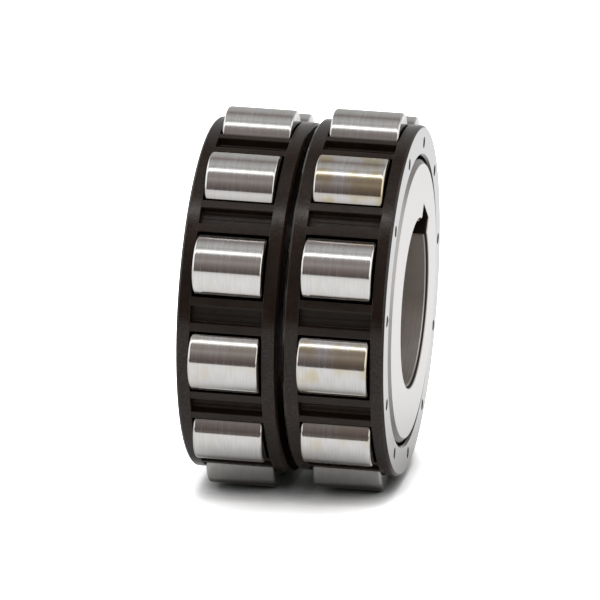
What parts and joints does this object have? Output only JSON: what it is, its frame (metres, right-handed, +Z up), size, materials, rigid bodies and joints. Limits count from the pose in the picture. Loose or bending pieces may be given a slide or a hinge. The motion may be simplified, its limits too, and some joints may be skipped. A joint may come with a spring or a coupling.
{
  "type": "cylindrical roller bearing",
  "caption": "Double-row cylindrical roller bearing with a keyed eccentric inner ring, dark polymer cages and no outer ring, for a cycloidal speed reducer.",
  "frame": {"origin": "centre of the bore at mid width", "axes": "+X along the bore axis towards the row whose axis is offset to -Y and up, +Z up with the bearing standing on two neighbouring rollers of each row"},
  "size_m": [0.032, 0.0592, 0.0582],
  "materials": {
    "ring_steel": "ground bearing steel, end faces satin, bore and raceways fine ground, thin oil film",
    "roller_steel": "ground and superfinished bearing steel with bright end rounds, thin oil film",
    "cage_polymer": "moulded brown-black glass-fibre polyamide, slightly oily, satin"
  },
  "bodies": {
    "inner_ring": {"eccentric_inner_ring": "ring_steel"},
    "left_cage_body": {"left_cage": "cage_polymer"},
    "right_cage_body": {"right_cage": "cage_polymer"},
    "left_roller_01_body": {"left_roller_01": "roller_steel"},
    "left_roller_02_body": {"left_roller_02": "roller_steel"},
    "left_roller_03_body": {"left_roller_03": "roller_steel"},
    "left_roller_04_body": {"left_roller_04": "roller_steel"},
    "left_roller_05_body": {"left_roller_05": "roller_steel"},
    "left_roller_06_body": {"left_roller_06": "roller_steel"},
    "left_roller_07_body": {"left_roller_07": "roller_steel"},
    "left_roller_08_body": {"left_roller_08": "roller_steel"},
    "left_roller_09_body": {"left_roller_09": "roller_steel"},
    "left_roller_10_body": {"left_roller_10": "roller_steel"},
    "left_roller_11_body": {"left_roller_11": "roller_steel"},
    "right_roller_01_body": {"right_roller_01": "roller_steel"},
    "right_roller_02_body": {"right_roller_02": "roller_steel"},
    "right_roller_03_body": {"right_roller_03": "roller_steel"},
    "right_roller_04_body": {"right_roller_04": "roller_steel"},
    "right_roller_05_body": {"right_roller_05": "roller_steel"},
    "right_roller_06_body": {"right_roller_06": "roller_steel"},
    "right_roller_07_body": {"right_roller_07": "roller_steel"},
    "right_roller_08_body": {"right_roller_08": "roller_steel"},
    "right_roller_09_body": {"right_roller_09": "roller_steel"},
    "right_roller_10_body": {"right_roller_10": "roller_steel"},
    "right_roller_11_body": {"right_roller_11": "roller_steel"}
  },
  "joints": [
    {"name": "left_cage_orbit", "type": "hinge", "parent": "inner_ring", "child": "left_cage_body", "pos_m": [0, 0.00082, -0.00058], "axis": [1, 0, 0], "continuous": true},
    {"name": "right_cage_orbit", "type": "hinge", "parent": "inner_ring", "child": "right_cage_body", "pos_m": [0, -0.00082, 0.00058], "axis": [1, 0, 0], "continuous": true},
    {"name": "left_roller_01_spin", "type": "hinge", "parent": "left_cage_body", "child": "left_roller_01_body", "pos_m": [0, -0.00595, -0.02361], "axis": [1, 0, 0], "continuous": true},
    {"name": "left_roller_02_spin", "type": "hinge", "parent": "left_cage_body", "child": "left_roller_02_body", "pos_m": [0, -0.01732, -0.0163], "axis": [1, 0, 0], "continuous": true},
    {"name": "left_roller_03_spin", "type": "hinge", "parent": "left_cage_body", "child": "left_roller_03_body", "pos_m": [0, -0.02294, -0.00399], "axis": [1, 0, 0], "continuous": true},
    {"name": "left_roller_04_spin", "type": "hinge", "parent": "left_cage_body", "child": "left_roller_04_body", "pos_m": [0, -0.02102, 0.00939], "axis": [1, 0, 0], "continuous": true},
    {"name": "left_roller_05_spin", "type": "hinge", "parent": "left_cage_body", "child": "left_roller_05_body", "pos_m": [0, -0.01216, 0.01961], "axis": [1, 0, 0], "continuous": true},
    {"name": "left_roller_06_spin", "type": "hinge", "parent": "left_cage_body", "child": "left_roller_06_body", "pos_m": [0, 0.00082, 0.02342], "axis": [1, 0, 0], "continuous": true},
    {"name": "left_roller_07_spin", "type": "hinge", "parent": "left_cage_body", "child": "left_roller_07_body", "pos_m": [0, 0.01379, 0.01961], "axis": [1, 0, 0], "continuous": true},
    {"name": "left_roller_08_spin", "type": "hinge", "parent": "left_cage_body", "child": "left_roller_08_body", "pos_m": [0, 0.02265, 0.00939], "axis": [1, 0, 0], "continuous": true},
    {"name": "left_roller_09_spin", "type": "hinge", "parent": "left_cage_body", "child": "left_roller_09_body", "pos_m": [0, 0.02457, -0.00399], "axis": [1, 0, 0], "continuous": true},
    {"name": "left_roller_10_spin", "type": "hinge", "parent": "left_cage_body", "child": "left_roller_10_body", "pos_m": [0, 0.01895, -0.0163], "axis": [1, 0, 0], "continuous": true},
    {"name": "left_roller_11_spin", "type": "hinge", "parent": "left_cage_body", "child": "left_roller_11_body", "pos_m": [0, 0.00758, -0.02361], "axis": [1, 0, 0], "continuous": true},
    {"name": "right_roller_01_spin", "type": "hinge", "parent": "right_cage_body", "child": "right_roller_01_body", "pos_m": [0, -0.00758, -0.02245], "axis": [1, 0, 0], "continuous": true},
    {"name": "right_roller_02_spin", "type": "hinge", "parent": "right_cage_body", "child": "right_roller_02_body", "pos_m": [0, -0.01895, -0.01514], "axis": [1, 0, 0], "continuous": true},
    {"name": "right_roller_03_spin", "type": "hinge", "parent": "right_cage_body", "child": "right_roller_03_body", "pos_m": [0, -0.02457, -0.00284], "axis": [1, 0, 0], "continuous": true},
    {"name": "right_roller_04_spin", "type": "hinge", "parent": "right_cage_body", "child": "right_roller_04_body", "pos_m": [0, -0.02265, 0.01055], "axis": [1, 0, 0], "continuous": true},
    {"name": "right_roller_05_spin", "type": "hinge", "parent": "right_cage_body", "child": "right_roller_05_body", "pos_m": [0, -0.01379, 0.02077], "axis": [1, 0, 0], "continuous": true},
    {"name": "right_roller_06_spin", "type": "hinge", "parent": "right_cage_body", "child": "right_roller_06_body", "pos_m": [0, -0.00082, 0.02458], "axis": [1, 0, 0], "continuous": true},
    {"name": "right_roller_07_spin", "type": "hinge", "parent": "right_cage_body", "child": "right_roller_07_body", "pos_m": [0, 0.01216, 0.02077], "axis": [1, 0, 0], "continuous": true},
    {"name": "right_roller_08_spin", "type": "hinge", "parent": "right_cage_body", "child": "right_roller_08_body", "pos_m": [0, 0.02102, 0.01055], "axis": [1, 0, 0], "continuous": true},
    {"name": "right_roller_09_spin", "type": "hinge", "parent": "right_cage_body", "child": "right_roller_09_body", "pos_m": [0, 0.02294, -0.00284], "axis": [1, 0, 0], "continuous": true},
    {"name": "right_roller_10_spin", "type": "hinge", "parent": "right_cage_body", "child": "right_roller_10_body", "pos_m": [0, 0.01732, -0.01514], "axis": [1, 0, 0], "continuous": true},
    {"name": "right_roller_11_spin", "type": "hinge", "parent": "right_cage_body", "child": "right_roller_11_body", "pos_m": [0, 0.00595, -0.02245], "axis": [1, 0, 0], "continuous": true}
  ],
  "couplings": [
    {"joint": "left_roller_01_spin", "follows": "left_cage_orbit", "ratio": 3.8},
    {"joint": "left_roller_02_spin", "follows": "left_cage_orbit", "ratio": 3.8},
    {"joint": "left_roller_03_spin", "follows": "left_cage_orbit", "ratio": 3.8},
    {"joint": "left_roller_04_spin", "follows": "left_cage_orbit", "ratio": 3.8},
    {"joint": "left_roller_05_spin", "follows": "left_cage_orbit", "ratio": 3.8},
    {"joint": "left_roller_06_spin", "follows": "left_cage_orbit", "ratio": 3.8},
    {"joint": "left_roller_07_spin", "follows": "left_cage_orbit", "ratio": 3.8},
    {"joint": "left_roller_08_spin", "follows": "left_cage_orbit", "ratio": 3.8},
    {"joint": "left_roller_09_spin", "follows": "left_cage_orbit", "ratio": 3.8},
    {"joint": "left_roller_10_spin", "follows": "left_cage_orbit", "ratio": 3.8},
    {"joint": "left_roller_11_spin", "follows": "left_cage_orbit", "ratio": 3.8},
    {"joint": "right_roller_01_spin", "follows": "right_cage_orbit", "ratio": 3.8},
    {"joint": "right_roller_02_spin", "follows": "right_cage_orbit", "ratio": 3.8},
    {"joint": "right_roller_03_spin", "follows": "right_cage_orbit", "ratio": 3.8},
    {"joint": "right_roller_04_spin", "follows": "right_cage_orbit", "ratio": 3.8},
    {"joint": "right_roller_05_spin", "follows": "right_cage_orbit", "ratio": 3.8},
    {"joint": "right_roller_06_spin", "follows": "right_cage_orbit", "ratio": 3.8},
    {"joint": "right_roller_07_spin", "follows": "right_cage_orbit", "ratio": 3.8},
    {"joint": "right_roller_08_spin", "follows": "right_cage_orbit", "ratio": 3.8},
    {"joint": "right_roller_09_spin", "follows": "right_cage_orbit", "ratio": 3.8},
    {"joint": "right_roller_10_spin", "follows": "right_cage_orbit", "ratio": 3.8},
    {"joint": "right_roller_11_spin", "follows": "right_cage_orbit", "ratio": 3.8}
  ]
}
